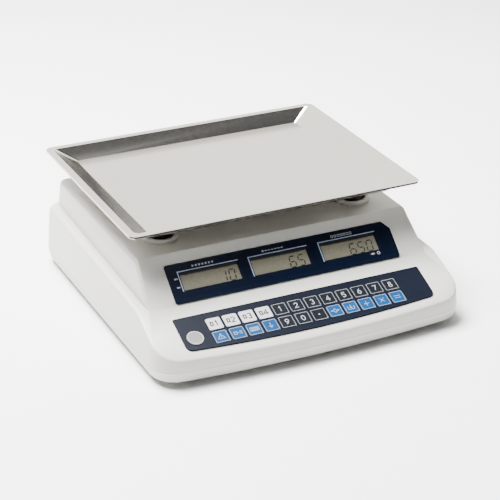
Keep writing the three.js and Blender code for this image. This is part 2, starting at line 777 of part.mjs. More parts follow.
function platformFrame() {
  const reach = 2 * Math.hypot(postAcross, postAlong);
  const angle = Math.atan2(postAlong, postAcross);
  const arms = [-1, 1].map((side) => new THREE.BoxGeometry(reach, armWidth, armThickness)
    .rotateZ(side * angle)
    .translate(0, platformCentreY, frameBottom + armThickness / 2));
  const ribHeight = 7.5; // above the arm
  const ribs = [-1, 1].map((side) => new THREE.BoxGeometry(reach - 30, 3, ribHeight + 0.5)
    .rotateZ(side * angle)
    .translate(0, platformCentreY, frameBottom + armThickness + (ribHeight - 0.5) / 2));
  const posts = postCentres().flatMap(([, x, y]) => [
    rod(x, y, frameBottom, armWidth / 2 + 1, armThickness + 4, 16),
    rod(x, y, frameBottom + 2, postRadius, cushionTop - cushionTopThickness - seatGap - frameBottom - 2, 16),
  ]);
  const seatY = platformCentreY + cellLength / 2 - cellSeatLength / 2;
  const hubWidth = 52;
  const hubLength = 92;
  const hubBack = platformCentreY + cellLength / 2 - 3;
  const hub = block(0, hubBack - hubLength / 2, frameBottom, hubWidth, hubLength, armThickness);
  const boss = block(0, seatY, frameBottom - frameBossHeight, cellWidth, cellSeatLength, frameBossHeight + 1);
  const bores = cellScrewYs(1).map((y) =>
    rod(0, y, frameBottom - frameBossHeight - 1, cellScrewRadius + 1.5 * seatGap, 24, 12));
  const clear = cellScrewYs(1).map((y) => rod(0, y, frameBottom + armThickness, 7.5, 12, 16));
  return cut(join(hub, ...arms, ...ribs, ...posts, boss), ...bores, ...clear);
}

function cushion(x, y) {
  const low = cushionTop - cushionHeight;
  const bore = postRadius + seatGap;
  return turned([
    [0, cushionTop - cushionTopThickness],
    [bore, cushionTop - cushionTopThickness],
    [bore, low],
    [cushionRadius - 1.5, low],
    [cushionRadius - 1, cushionTop - 7],
    [cushionRadius, cushionTop - 5.5],
    [cushionRadius, cushionTop - 1.5],
    [cushionRadius - 1.5, cushionTop],
    [0, cushionTop],
  ], 20).translate(x, y, 0);
}

// A single-point load cell: an aluminium bar with a pair of joined bores across it.
function loadCell() {
  const side = roundedOutline(-cellLength / 2, -cellHeight / 2, cellLength, cellHeight, 0.8);
  const boreRadius = 7.5;
  const boreOffset = 15;
  const slot = new THREE.Path();
  const neck = Math.asin(3 / boreRadius);
  slot.absarc(boreOffset, 0, boreRadius, Math.PI + neck, 3 * Math.PI - neck, false);
  slot.absarc(-boreOffset, 0, boreRadius, neck, 2 * Math.PI - neck, false);
  side.holes.push(slot);
  const bar = new THREE.ExtrudeGeometry(side, { depth: cellWidth, bevelEnabled: false, curveSegments: 5 })
    .translate(0, 0, -cellWidth / 2)
    .rotateX(Math.PI / 2)
    .rotateZ(Math.PI / 2)
    .translate(0, platformCentreY, cellBottom + cellHeight / 2);
  const depth = 14;
  const bores = [
    ...cellScrewYs(-1).map((y) => rod(0, y, cellBottom - 1, cellScrewRadius + 1.5 * seatGap, depth + 1, 12)),
    ...cellScrewYs(1).map((y) => rod(0, y, cellTop - depth, cellScrewRadius + 1.5 * seatGap, depth + 1, 12)),
  ];
  return cut(bar, ...bores);
}

// A socket-head screw standing head down with the head's face at the origin.
function capScrew(radius, headRadius, headHeight, length) {
  const body = turned([
    [0, 0],
    [headRadius - 0.4, 0],
    [headRadius, 0.4],
    [headRadius, headHeight],
    [radius, headHeight],
    [radius, headHeight + length - 0.6],
    [radius - 0.6, headHeight + length],
    [0, headHeight + length],
  ], 14);
  const socket = new THREE.CylinderGeometry(radius * 0.95, radius * 0.95, headHeight, 6)
    .rotateX(Math.PI / 2)
    .translate(0, 0, headHeight / 2 - 1);
  return cut(body, socket);
}

// Where the main board's plug ends, below the display.
function plugEnd() {
  const up = windowTop - windowHeight / 2 - boardPlugDrop;
  const out = -lensPocketDepth - lcdThickness - seatGap - boardThickness - boardPlugHeight;
  return onDisplay(new THREE.BufferGeometry().setFromPoints([new THREE.Vector3(boardPlugAcross, up, out)]))
    .getAttribute("position");
}

// The lead leaves the cell's side, lies along the floor and rises to the main board's plug.
function cellLead() {
  const side = cellWidth / 2;
  const plug = plugEnd();
  const [plugX, plugY, plugZ] = [plug.getX(0), plug.getY(0), plug.getZ(0)];
  const path = new THREE.CatmullRomCurve3([
    new THREE.Vector3(side + 0.5, platformCentreY - 32, cellBottom + 12),
    new THREE.Vector3(side + 8, platformCentreY - 34, cellBottom + 11),
    new THREE.Vector3(side + 26, platformCentreY - 52, cellBottom + 6),
    new THREE.Vector3(plugX + 2, plugY + 37, cellBottom + 8),
    new THREE.Vector3(plugX + 2, plugY + 15, plugZ - 17),
    new THREE.Vector3(plugX + 1, plugY + 1.5, plugZ - 7.5),
  ]);
  const leadRadius = 1.6;
  const ring = new THREE.Shape();
  ring.absarc(0, 0, leadRadius, 0, 2 * Math.PI, false);
  return new THREE.ExtrudeGeometry(ring, { steps: 18, extrudePath: path, curveSegments: 3 });
}

// ---- power parts -------------------------------------------------------------------------------

function switchBody() {
  const faceY = back - bayFloorInset + seatGap + flangeThickness;
  const flange = new THREE.BoxGeometry(switchFlangeWidth, flangeThickness, switchFlangeHeight)
    .translate(switchAcross, faceY - flangeThickness / 2, switchHeight);
  const box = new THREE.BoxGeometry(switchFlangeWidth - 3, 13, switchFlangeHeight - 3)
    .translate(switchAcross, faceY - 6.5, switchHeight);
  const mouth = new THREE.BoxGeometry(switchFlangeWidth - 5, 10, switchFlangeHeight - 4.4)
    .translate(switchAcross, faceY - 4, switchHeight);
  const tabs = [-1, 1].map((side) => new THREE.BoxGeometry(0.8, 6, 5)
    .translate(switchAcross + side * 3, faceY - 15, switchHeight));
  return cut(join(flange, box, ...tabs), mouth);
}

// The rocker's ends follow an arc round its pivot, so it tilts inside the frame without touching.
function rocker() {
  const radius = switchFlangeHeight / 2 - 2.2 - seatGap;
  const shape = new THREE.Shape();
  const topAngle = 14;
  const lowAngle = -24;
  shape.absarc(0, 0, radius, turn(lowAngle), turn(topAngle), false);
  shape.lineTo(0, 0.8);
  shape.absarc(0, 0, radius, turn(180 - topAngle), turn(180 - lowAngle), false);
  return new THREE.ExtrudeGeometry(shape, {
    depth: switchFlangeWidth - 5 - 2 * seatGap, bevelEnabled: false, curveSegments: 5 })
    .translate(0, 0, -(switchFlangeWidth - 5) / 2 + seatGap)
    .rotateY(-Math.PI / 2)
    .rotateX(-turn(switchTilt))
    .translate(switchAcross, back - bayFloorInset + 0.9, switchHeight);
}

function powerSocket() {
  const faceY = seatGap + 1.4;
  const rim = socketFlangeRadius - flangeLap - seatGap;
  const profile = [
    [0, -13], [rim, -13], [rim, seatGap], [socketFlangeRadius, seatGap],
    [socketFlangeRadius, faceY], [socketBore, faceY], [socketBore, faceY - 9],
    [0.9, faceY - 9], [0.9, faceY - 1.5], [0, faceY - 1],
  ];
  return turned(profile, 20).rotateX(-Math.PI / 2).translate(socketAcross, back - bayFloorInset, switchHeight);
}

// ---- feet --------------------------------------------------------------------------------------

function footSole(x, y) {
  return turned([
    [0, 0], [soleRadius - 0.6, 0], [soleRadius, 0.8], [soleRadius, soleHeight], [0, soleHeight],
  ], 20).translate(x, y, 0);
}

function footScrew(x, y) {
  const low = soleHeight + seatGap;
  const knob = new THREE.Shape();
  const lobes = 10;
  for (let i = 0; i < 3 * lobes; i += 1) {
    const angle = (2 * Math.PI * i) / (3 * lobes);
    const radius = knobRadius - (i % 3 === 0 ? 1.2 : 0);
    const place = [radius * Math.cos(angle), radius * Math.sin(angle)];
    if (i === 0) knob.moveTo(...place);
    else knob.lineTo(...place);
  }
  return join(
    plate(knob, low, knobHeight).translate(x, y, 0),
    rod(x, y, low + knobHeight - 0.5, footStudRadius, footStudLength + 0.5, 12));
}

// ---- assembly ----------------------------------------------------------------------------------

const scale = new THREE.Group();
scale.name = "counting_scale";

const offWhite = 0xdedbd2;
const navy = 0x25324a;
const keyBlue = 0x2a86cf;
const keyWhite = 0xf0f1f0;
const steel = 0xc9c7c2;

scale.add(piece("base_shell", baseShell(), finish(offWhite, 0.55)));
scale.add(piece("top_housing", topHousing(), finish(offWhite, 0.5)));

const keypadPanel = new THREE.Group();
keypadPanel.rotation.x = turn(keypadSlope);
keypadPanel.position.set(0, front + keypadTopInset, keypadTopHeight);
keypadPanel.add(piece("keypad_film", keypadFilm(), finish(navy, 0.35)));
keypadPanel.add(piece("bubble_level", bubbleLevel(), finish(0xb4b6b2, 0.2)));
const keyNames = [
  "memory_1", "memory_2", "memory_3", "memory_4",
  "digit_1", "digit_2", "digit_3", "digit_4", "digit_5", "digit_6", "digit_7", "digit_8",
  "warning_light", "unit_weight", "sample_count", "confirm",
  "digit_9", "digit_0", "point",
  "zero", "tare", "add", "clear", "total",
];
const keyColour = (name) => {
  if (name.startsWith("memory")) return keyWhite;
  if (name.startsWith("digit") || name === "point") return navy;
  return keyBlue;
};
keyCentres().forEach(({ x, y }, i) => {
  const name = keyNames[i];
  keypadPanel.add(piece("key_" + name, keyCap(x, y), finish(keyColour(name), 0.35)));
});
scale.add(keypadPanel);

const displayPanel = new THREE.Group();
displayPanel.rotation.x = turn(displaySlope);
displayPanel.position.set(0, front + displayTopInset, displayTopHeight);
displayPanel.add(piece("display_lens", displayLens(), finish(navy, 0.25)));
["left", "middle", "right"].forEach((place, i) => {
  displayPanel.add(piece("lcd_" + place, lcdModule(windowLefts[i]), finish(0x8d9180, 0.3)));
});
displayPanel.add(piece("main_board", mainBoard(), finish(0x2f6b45, 0.6)));
scale.add(displayPanel);

scale.add(piece("weighing_pan", panTray(), finish(steel, 0.2, 1)));
scale.add(piece("platform_frame", platformFrame(), finish(0x9a9da0, 0.5, 0.8)));
for (const [place, x, y] of postCentres()) {
  scale.add(piece("cushion_" + place, cushion(x, y), finish(0x2c2724, 0.85)));
}
scale.add(piece("load_cell", loadCell(), finish(0xb8babd, 0.35, 0.9)));
scale.add(piece("load_cell_lead", cellLead(), finish(0x55585c, 0.7)));

const cellHead = 4;
const lowerScrewFace = undersideHeight + 4 - seatGap - cellHead + 0.1;
cellScrewYs(-1).forEach((y, i) => {
  const screw = piece(
    "load_cell_lower_screw_" + (i + 1),
    capScrew(cellScrewRadius, 5.2, cellHead, cellBottom - undersideHeight - 4 + 11), finish(0x8f9296, 0.35, 0.9));
  screw.position.set(0, y, lowerScrewFace);
  scale.add(screw);
});
cellScrewYs(1).forEach((y, i) => {
  const screw = piece(
    "load_cell_upper_screw_" + (i + 1),
    capScrew(cellScrewRadius, 5.2, cellHead, armThickness + frameBossHeight + 12), finish(0x8f9296, 0.35, 0.9));
  screw.rotation.x = Math.PI;
  screw.position.set(0, y, frameBottom + armThickness + seatGap + cellHead);
  scale.add(screw);
});

scale.add(piece(
  "battery",
  new THREE.BoxGeometry(batteryLength, batteryWidth, batteryHeight)
    .translate(0, batteryCentreY(), floorTop + seatGap + 1.8 + batteryHeight / 2),
  finish(0x3a3d42, 0.6)));
scale.add(piece("battery_door", batteryDoor(), finish(offWhite, 0.55)));

scale.add(piece("switch_body", switchBody(), finish(0x1c1c1e, 0.5)));
scale.add(piece("switch_rocker", rocker(), finish(0x242426, 0.4)));
scale.add(piece("power_socket", powerSocket(), finish(0x202022, 0.5)));

for (const [place, x, y] of footCentres()) {
  scale.add(piece("foot_sole_" + place, footSole(x, y), finish(0x2b2a29, 0.9)));
  scale.add(piece("foot_screw_" + place, footScrew(x, y), finish(0x333436, 0.6)));
}

for (const [place, side] of [["left", -1], ["right", 1]]) {
  const screw = piece(
    "housing_screw_" + place,
    capScrew(housingScrewRadius, 3.9, 2.4, 26), finish(0x8f9296, 0.35, 0.9));
  screw.position.set(side * housingScrewAcross, back - housingScrewInset, undersideHeight + 0.3);
  scale.add(screw);
}

export default scale;
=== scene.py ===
# %% [markdown]
# # A bench counting scale
# This lesson dresses a measured model of a counting scale: a moulded housing, a printed keypad, three
# liquid-crystal windows and a loose stainless pan. The measured solids come from the frame. We give each
# one a real finish, add the printed marks and the display segments as thin pieces of their own, and then
# light it like a catalogue picture.

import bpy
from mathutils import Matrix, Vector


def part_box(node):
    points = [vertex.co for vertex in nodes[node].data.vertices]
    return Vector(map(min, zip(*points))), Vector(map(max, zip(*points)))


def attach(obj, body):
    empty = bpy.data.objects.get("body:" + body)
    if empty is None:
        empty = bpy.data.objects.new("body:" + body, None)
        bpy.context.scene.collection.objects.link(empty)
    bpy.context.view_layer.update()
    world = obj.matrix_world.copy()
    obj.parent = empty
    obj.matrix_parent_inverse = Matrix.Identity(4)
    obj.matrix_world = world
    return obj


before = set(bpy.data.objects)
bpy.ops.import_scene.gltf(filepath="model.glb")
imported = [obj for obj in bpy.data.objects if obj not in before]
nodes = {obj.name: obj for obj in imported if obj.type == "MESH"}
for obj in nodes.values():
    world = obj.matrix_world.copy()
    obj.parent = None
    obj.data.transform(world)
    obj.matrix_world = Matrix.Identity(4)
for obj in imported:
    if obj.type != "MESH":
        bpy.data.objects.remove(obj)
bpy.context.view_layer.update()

import math

import bmesh
import bpy
from mathutils import Vector

MM = 0.001

# %% [markdown]
# ## Material helper
# Moulded plastic, ink film, rubber and metal all need the same three things: a colour that drifts a
# little, a roughness that drifts a little, and a fine bump. One helper builds that graph so that every
# finish below is a single call with its own numbers.

# %% Material helper
def shader(name, colour, roughness, metal=0.0, drift=0.06, grain=900.0, bump=0.04, stretch=(1, 1, 1),
           rough_drift=0.08, patch=18.0, shine=0.5, depth=0.0002):
    """A principled material whose colour, roughness and bump come from noise in the object's own space."""
    made = bpy.data.materials.new(name)
    made.use_nodes = True
    tree = made.node_tree
    out = tree.nodes["Principled BSDF"]
    out.inputs["Metallic"].default_value = metal
    out.inputs["Specular IOR Level"].default_value = shine
    place = tree.nodes.new("ShaderNodeTexCoord")
    stretch_node = tree.nodes.new("ShaderNodeMapping")
    stretch_node.inputs["Scale"].default_value = stretch
    tree.links.new(place.outputs["Object"], stretch_node.inputs["Vector"])

    broad = tree.nodes.new("ShaderNodeTexNoise")
    broad.inputs["Scale"].default_value = patch
    broad.inputs["Detail"].default_value = 4
    fine = tree.nodes.new("ShaderNodeTexNoise")
    fine.inputs["Scale"].default_value = grain
    fine.inputs["Detail"].default_value = 2
    tree.links.new(place.outputs["Object"], broad.inputs["Vector"])
    tree.links.new(stretch_node.outputs["Vector"], fine.inputs["Vector"])

    tint = tree.nodes.new("ShaderNodeValToRGB")
    low, high = tint.color_ramp.elements
    low.position, high.position = 0.35, 0.65
    low.color = (*[c * (1 - drift) for c in colour], 1)
    high.color = (*[min(c * (1 + drift), 1) for c in colour], 1)
    tree.links.new(broad.outputs["Fac"], tint.inputs["Fac"])
    tree.links.new(tint.outputs["Color"], out.inputs["Base Color"])

    sheen = tree.nodes.new("ShaderNodeMapRange")
    sheen.inputs["From Min"].default_value = 0.3
    sheen.inputs["From Max"].default_value = 0.7
    sheen.inputs["To Min"].default_value = max(roughness - rough_drift, 0.02)
    sheen.inputs["To Max"].default_value = min(roughness + rough_drift, 1)
    tree.links.new(fine.outputs["Fac"], sheen.inputs["Value"])
    tree.links.new(sheen.outputs["Result"], out.inputs["Roughness"])

    relief = tree.nodes.new("ShaderNodeBump")
    relief.inputs["Strength"].default_value = bump
    relief.inputs["Distance"].default_value = depth
    tree.links.new(fine.outputs["Fac"], relief.inputs["Height"])
    tree.links.new(relief.outputs["Normal"], out.inputs["Normal"])
    return made


def dress(node_names, material):
    for node_name in node_names:
        slots = nodes[node_name].data.materials
        slots.clear()
        slots.append(material)


def names_starting(*starts):
    return [n for n in nodes if n.startswith(starts)]


# %% [markdown]
# ## Soft shading
# The measured solids are made of flat facets. A weld joins the facets' shared corners, and a small node
# group then shades everything smooth except where two facets meet at a clear angle. Rounded mouldings
# read as round and cut edges stay crisp.

# %% Soft shading
def soft_shading_group(limit_degrees):
    group = bpy.data.node_groups.new("soft_shading_%d" % limit_degrees, "GeometryNodeTree")
    group.interface.new_socket("Geometry", in_out="INPUT", socket_type="NodeSocketGeometry")
    group.interface.new_socket("Geometry", in_out="OUTPUT", socket_type="NodeSocketGeometry")
    start = group.nodes.new("NodeGroupInput")
    end = group.nodes.new("NodeGroupOutput")
    weld = group.nodes.new("GeometryNodeMergeByDistance")
    weld.inputs["Distance"].default_value = 0.00002
    angle = group.nodes.new("GeometryNodeInputMeshEdgeAngle")
    sharp = group.nodes.new("FunctionNodeCompare")
    sharp.data_type = "FLOAT"
    sharp.operation = "LESS_EQUAL"
    sharp.inputs["B"].default_value = math.radians(limit_degrees)
    faces = group.nodes.new("GeometryNodeSetShadeSmooth")
    faces.domain = "FACE"
    faces.inputs["Shade Smooth"].default_value = True
    edges = group.nodes.new("GeometryNodeSetShadeSmooth")
    edges.domain = "EDGE"
    group.links.new(start.outputs[0], weld.inputs["Geometry"])
    group.links.new(weld.outputs["Geometry"], faces.inputs["Geometry"])
    group.links.new(faces.outputs["Geometry"], edges.inputs["Geometry"])
    group.links.new(angle.outputs["Unsigned Angle"], sharp.inputs["A"])
    group.links.new(sharp.outputs["Result"], edges.inputs["Shade Smooth"])
    group.links.new(edges.outputs["Geometry"], end.inputs[0])
    return group


moulding_group = soft_shading_group(34)
folded_group = soft_shading_group(15)  # sheet metal keeps its gentle folds crisp


def soften(obj, group):
    obj.modifiers.new("soft shading", "NODES").node_group = group


for node_name, node in nodes.items():
    soften(node, folded_group if node_name == "weighing_pan" else moulding_group)

# %% [markdown]
# ## Housing plastic
# The two housing parts and the battery door are moulded in a warm off-white plastic with a fine spark
# texture. The texture is far smaller than a millimetre, so it only breaks up the highlights.

# %% Housing plastic
housing_plastic = shader("housing_plastic", (0.52, 0.513, 0.475), 0.42, drift=0.012, grain=2600, bump=0.12,
                         rough_drift=0.05, patch=9)
dress(["base_shell", "top_housing", "battery_door"], housing_plastic)

# %% [markdown]
# ## Printed overlays and keys
# The keypad and the display lens are clear sheets printed on the back in dark navy, so they read as
# a satin skin with a little gloss. The keys are the same printed skin, a tenth of a millimetre higher.

# %% Printed overlays and keys
navy_film = shader("navy_film", (0.0016, 0.0034, 0.009), 0.34, drift=0.04, grain=2400, bump=0.02,
                   rough_drift=0.03, shine=0.15)
navy_lens = shader("navy_lens", (0.0022, 0.0045, 0.0135), 0.2, drift=0.04, grain=2400, bump=0.02,
                   rough_drift=0.03, shine=0.2)
navy_key = shader("navy_key", (0.0018, 0.0034, 0.0066), 0.32, drift=0.05, grain=1500, bump=0.05, shine=0.2)
white_key = shader("white_key", (0.45, 0.455, 0.46), 0.35, drift=0.02, bump=0.04)
blue_key = shader("blue_key", (0.0, 0.04, 0.13), 0.36, drift=0.03, grain=1500, bump=0.05, shine=0.15)
dress(["keypad_film"], navy_film)
dress(["display_lens"], navy_lens)
dress(["bubble_level"], shader("level_vial", (0.17, 0.172, 0.165), 0.24, drift=0.03, bump=0.02))
MEMORY_KEYS = ["key_memory_%d" % number for number in range(1, 5)]
DIGIT_KEYS = ["key_digit_%d" % number for number in range(10)]
COMMAND_KEYS = ["key_warning_light", "key_unit_weight", "key_sample_count", "key_confirm", "key_zero",
                "key_tare", "key_add", "key_clear", "key_total"]
dress(MEMORY_KEYS, white_key)
dress(DIGIT_KEYS + ["key_point"], navy_key)
dress(COMMAND_KEYS, blue_key)

# %% [markdown]
# ## Glass, metal and rubber
# The liquid-crystal modules show a dull grey-green face. The pan is pressed stainless sheet with a
# rolled grain that runs across it. Below it sit the cast frame, its black cushions, the milled load
# cell, the battery, the board and the rear fittings.

# %% Glass, metal and rubber
dress(names_starting("lcd_"), shader("lcd_glass", (0.175, 0.168, 0.122), 0.3, drift=0.03, bump=0.02))
dress(["main_board"], shader("circuit_board", (0.012, 0.07, 0.03), 0.5))
pan_steel = shader("pan_steel", (0.57, 0.55, 0.51), 0.15, metal=1.0, drift=0.03, grain=260, bump=0.02,
                   stretch=(1, 14, 14), rough_drift=0.06, patch=7)
dress(["weighing_pan"], pan_steel)
dress(["platform_frame"], shader("frame_casting", (0.3, 0.31, 0.32), 0.5, metal=0.9, grain=700, bump=0.3))
dress(names_starting("cushion"), shader("cushion_rubber", (0.008, 0.007, 0.006), 0.7, bump=0.2))
dress(["load_cell"], shader("cell_aluminium", (0.55, 0.55, 0.56), 0.3, metal=1.0, stretch=(1, 1, 20)))
dress(["load_cell_lead"], shader("lead_sheath", (0.05, 0.05, 0.052), 0.55))
dress(names_starting("load_cell_lower", "load_cell_upper", "housing_screw"),
      shader("screw_steel", (0.45, 0.45, 0.46), 0.3, metal=1.0))
dress(["battery"], shader("battery_case", (0.02, 0.022, 0.024), 0.55))
dress(["switch_body", "power_socket"], shader("black_plastic", (0.006, 0.006, 0.0065), 0.45))
dress(["switch_rocker"], shader("rocker_plastic", (0.009, 0.009, 0.01), 0.3))
dress(names_starting("foot_sole"), shader("sole_rubber", (0.009, 0.0085, 0.008), 0.8, bump=0.2))
dress(names_starting("foot_screw"), shader("foot_plastic", (0.013, 0.013, 0.014), 0.45))

# %% [markdown]
# ## Measuring a printed face
# Ink belongs exactly on the face it is printed on, so we read each face from its own solid: the largest
# facet that looks upwards gives the slope, and the corners in that plane give the rectangle.

# %% Measuring a printed face
FACING_UP = 0.2  # least upward share of a printed face's normal
SAME_PLANE = 0.02 * MM


class Face:
    """The flat upper face of a node, with its own left-to-right and low-to-high directions."""

    def __init__(self, node_name):
        mesh = nodes[node_name].data
        largest = max((p for p in mesh.polygons if p.normal.z > FACING_UP), key=lambda p: p.area)
        self.normal = largest.normal.copy()
        self.across = Vector((1, 0, 0))
        self.up = self.normal.cross(self.across).normalized()
        depth = largest.center.dot(self.normal)
        self.flats = [v.co for v in mesh.vertices if abs(v.co.dot(self.normal) - depth) < SAME_PLANE]
        lefts = [c.dot(self.across) for c in self.flats]
        ups = [c.dot(self.up) for c in self.flats]
        self.width, self.height = max(lefts) - min(lefts), max(ups) - min(ups)
        middle_across, middle_up = (max(lefts) + min(lefts)) / 2, (max(ups) + min(ups)) / 2
        self.middle = self.across * middle_across + self.up * middle_up + self.normal * depth

    def spot(self, point, lift):
        return self.middle + self.across * point[0] + self.up * point[1] + self.normal * lift

    def flat_position(self, place):
        return (place - self.middle).dot(self.across), (place - self.middle).dot(self.up)


# %% [markdown]
# ## Drawing with ribbons
# A mark is drawn as a pen would: a line of points, a width, and mitred corners. Each stroke is raised a
# hair above the last, so crossing strokes never share a plane, and the finished mark is given a real
# thickness of a few hundredths of a millimetre like a layer of screen ink.

# %% Drawing with ribbons
INK = 0.02 * MM
STROKE_STEP = 0.004 * MM


def ribbon(points, width, closed=False):
    """Left and right borders of a line drawn with a flat pen, both in millimetres."""
    lefts, rights = [], []
    count = len(points)
    for i, here in enumerate(points):
        before = points[i - 1] if closed or i else here
        after = points[(i + 1) % count] if closed or i < count - 1 else here
        arriving, leaving = Vector(here) - Vector(before), Vector(after) - Vector(here)
        arriving = arriving.normalized() if arriving.length else leaving.normalized()
        leaving = leaving.normalized() if leaving.length else arriving
        along = (arriving + leaving).normalized() if (arriving + leaving).length > 0.01 else arriving
        side = Vector((-along.y, along.x))
        reach = width / 2 / max(side.dot(Vector((-arriving.y, arriving.x))), 0.5)
        lefts.append((here[0] + side.x * reach, here[1] + side.y * reach))
        rights.append((here[0] - side.x * reach, here[1] - side.y * reach))
    return lefts, rights


def arc(x, y, radius_x, radius_y, start, end, steps=10):
    turns = [math.radians(start + (end - start) * i / steps) for i in range(steps + 1)]
    return [(x + radius_x * math.cos(t), y + radius_y * math.sin(t)) for t in turns]


def ring(x, y, radius_x, radius_y, steps=16):
    return arc(x, y, radius_x, radius_y, 90, 450, steps)[:-1]


def block(x, y, width, height):
    corners = ((-1, -1), (1, -1), (1, 1), (-1, 1))
    return [(x + a * width / 2, y + b * height / 2) for a, b in corners]


class Ink:
    """Collects strokes and filled shapes in millimetres on one face, then makes one thin piece of them."""

    def __init__(self, face):
        self.face = face
        self.mesh = bmesh.new()
        self.lift = INK

    def fill(self, outline):
        self.mesh.faces.new([self.mesh.verts.new(self.face.spot((x * MM, y * MM), self.lift))
                             for x, y in outline])
        self.lift += STROKE_STEP

    def line(self, points, width, closed=False):
        borders = [[self.mesh.verts.new(self.face.spot((x * MM, y * MM), self.lift)) for x, y in border]
                   for border in ribbon(points, width, closed)]
        count = len(points)
        for i in range(count if closed else count - 1):
            j = (i + 1) % count
            self.mesh.faces.new((borders[1][i], borders[1][j], borders[0][j], borders[0][i]))
        self.lift += STROKE_STEP

    def make(self, name, body, material):
        grown = bmesh.ops.extrude_face_region(self.mesh, geom=self.mesh.faces[:])["geom"]
        foot = [v for v in grown if isinstance(v, bmesh.types.BMVert)]
        bmesh.ops.translate(self.mesh, verts=foot, vec=self.face.normal * -INK)
        bmesh.ops.recalc_face_normals(self.mesh, faces=self.mesh.faces[:])
        data = bpy.data.meshes.new(name)
        self.mesh.to_mesh(data)
        self.mesh.free()
        data.materials.append(material)
        made = bpy.data.objects.new(name, data)
        bpy.context.scene.collection.objects.link(made)
        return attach(made, body)


# %% [markdown]
# ## Marks
# The marks are plain signs anyone may use: figures, a dot, a plus, an arrow. Every mark is a list of
# strokes. A figure is drawn in a box one unit high and takes its size from the key it is printed on.

# %% Marks
FIGURES = {  # strokes in a box one unit high; True marks a closed loop
    "0": [(ring(0, 0, 0.27, 0.43), True)],
    "1": [([(-0.16, 0.26), (0.04, 0.45), (0.04, -0.46)], False)],
    "2": [(arc(0, 0.19, 0.25, 0.25, 170, -35) + [(-0.28, -0.44), (0.3, -0.44)], False)],
    "3": [(arc(0, 0.22, 0.23, 0.22, 150, -80), False), (arc(0, -0.21, 0.26, 0.24, 85, -150), False)],
    "4": [([(0.12, -0.46), (0.12, 0.44), (-0.3, -0.18), (0.34, -0.18)], False)],
    "5": [([(0.25, 0.43), (-0.2, 0.43), (-0.23, 0.03)] + arc(0, -0.16, 0.27, 0.28, 130, -150), False)],
    "6": [([(0.16, 0.46), (-0.14, 0.16), (-0.25, -0.14)], False), (ring(0, -0.17, 0.26, 0.27), True)],
    "7": [([(-0.28, 0.43), (0.28, 0.43), (-0.06, -0.46)], False)],
    "8": [(ring(0, 0.23, 0.2, 0.21), True), (ring(0, -0.21, 0.26, 0.24), True)],
    "9": [(ring(0, 0.17, 0.26, 0.27), True), ([(0.25, 0.14), (0.14, -0.16), (-0.16, -0.46)], False)],
}


def write_figure(ink, figure, x, y, size, pen):
    for points, closed in FIGURES[figure]:
        ink.line([(x + a * size, y + b * size) for a, b in points], pen, closed)


def arrow(tail, tip, head):
    """A shaft and a chevron head, as two open strokes."""
    along = (Vector(tip) - Vector(tail)).normalized()
    side = Vector((-along.y, along.x))
    barbs = [tuple(Vector(tip) - along * head + side * head * turn) for turn in (1, -1)]
    return [([tail, tip], False), ([barbs[0], tip, barbs[1]], False)]


SIGNS = {  # strokes in millimetres about the middle of a key; True marks a closed loop
    "key_warning_light": [([(-3.6, -2.6), (3.6, -2.6), (0, 3.2)], True), ([(0, 1.2), (0, -0.7)], False),
                          ([(0, -1.4), (0, -2.0)], False)],
    "key_unit_weight": [(block(-2.4, 0, 3.0, 3.0), True), ([(0.2, 0), (1.4, 0)], False),
                        ([(2.2, 1.6), (4.4, 1.6)], False), ([(2.2, -1.6), (4.4, -1.6)], False),
                        ([(2.2, 0), (4.4, 0)], False)],
    "key_sample_count": [(block(x, y, 1.6, 1.6), True) for x in (-3.6, -1.2, 1.2, 3.6) for y in (-1.4, 1.4)],
    "key_confirm": arrow((0, 3.2), (0, -2.6), 2.2),
    "key_zero": [(ring(0, 0, 1.5, 2.2), True)] + arrow((-4.6, 0), (-2.5, 0), 1.0)
                + arrow((4.6, 0), (2.5, 0), 1.0),
    "key_tare": [([(-3.6, 1.6), (-3.0, -2.6), (3.0, -2.6), (3.6, 1.6)], False)]
                + arrow((0, 3.2), (0, -1.2), 1.4),
    "key_add": [([(-3.0, 0), (3.0, 0)], False), ([(0, -3.0), (0, 3.0)], False)],
    "key_clear": [([(-2.5, -2.5), (2.5, 2.5)], False), ([(-2.5, 2.5), (2.5, -2.5)], False)],
    "key_total": [([(-3.4, 1.3), (3.4, 1.3)], False), ([(-3.4, -1.3), (3.4, -1.3)], False)],
}

# %% [markdown]
# ## Key printing
# Each dark or blue key carries a thin white border and a white mark, and each white key a dark one. The
# ink moves down with its own key, so it rides on that key's body.

# %% Key printing
print_white = shader("print_white", (0.32, 0.33, 0.34), 0.4, drift=0.02, grain=1800, bump=0.03)
print_dark = shader("print_dark", (0.002, 0.0025, 0.004), 0.4, drift=0.05, grain=1800, bump=0.03)
BORDER_PEN, BORDER_INSET, BORDER_CORNER = 0.34, 0.5, 0.9
FIGURE_HEIGHT, FIGURE_PEN = 6.6, 0.78
SIGN_PEN = 0.42
MEMORY_HEIGHT, MEMORY_PEN = 6.8, 1.4
MEMORY_FIGURE_RIGHT = 2.1
STORE_LEFT, STORE_RIGHT, STORE_HALF_HEIGHT, STORE_BAR = -4.1, -1.7, 2.6, 2.1  # the box before the figure
POINT_RADIUS = 0.85
LEVEL_RING_INSET, LEVEL_RING_PEN = 0.5, 0.8
QUARTERS = ((1, 1, 0), (-1, 1, 90), (-1, -1, 180), (1, -1, 270))


def rounded_border(face, inset, corner):
    half_width, half_height = face.width / MM / 2 - inset, face.height / MM / 2 - inset
    points = []
    for right, up, turn in QUARTERS:
        points += arc(right * (half_width - corner), up * (half_height - corner), corner, corner,
                      turn, turn + 90, 3)
    return points


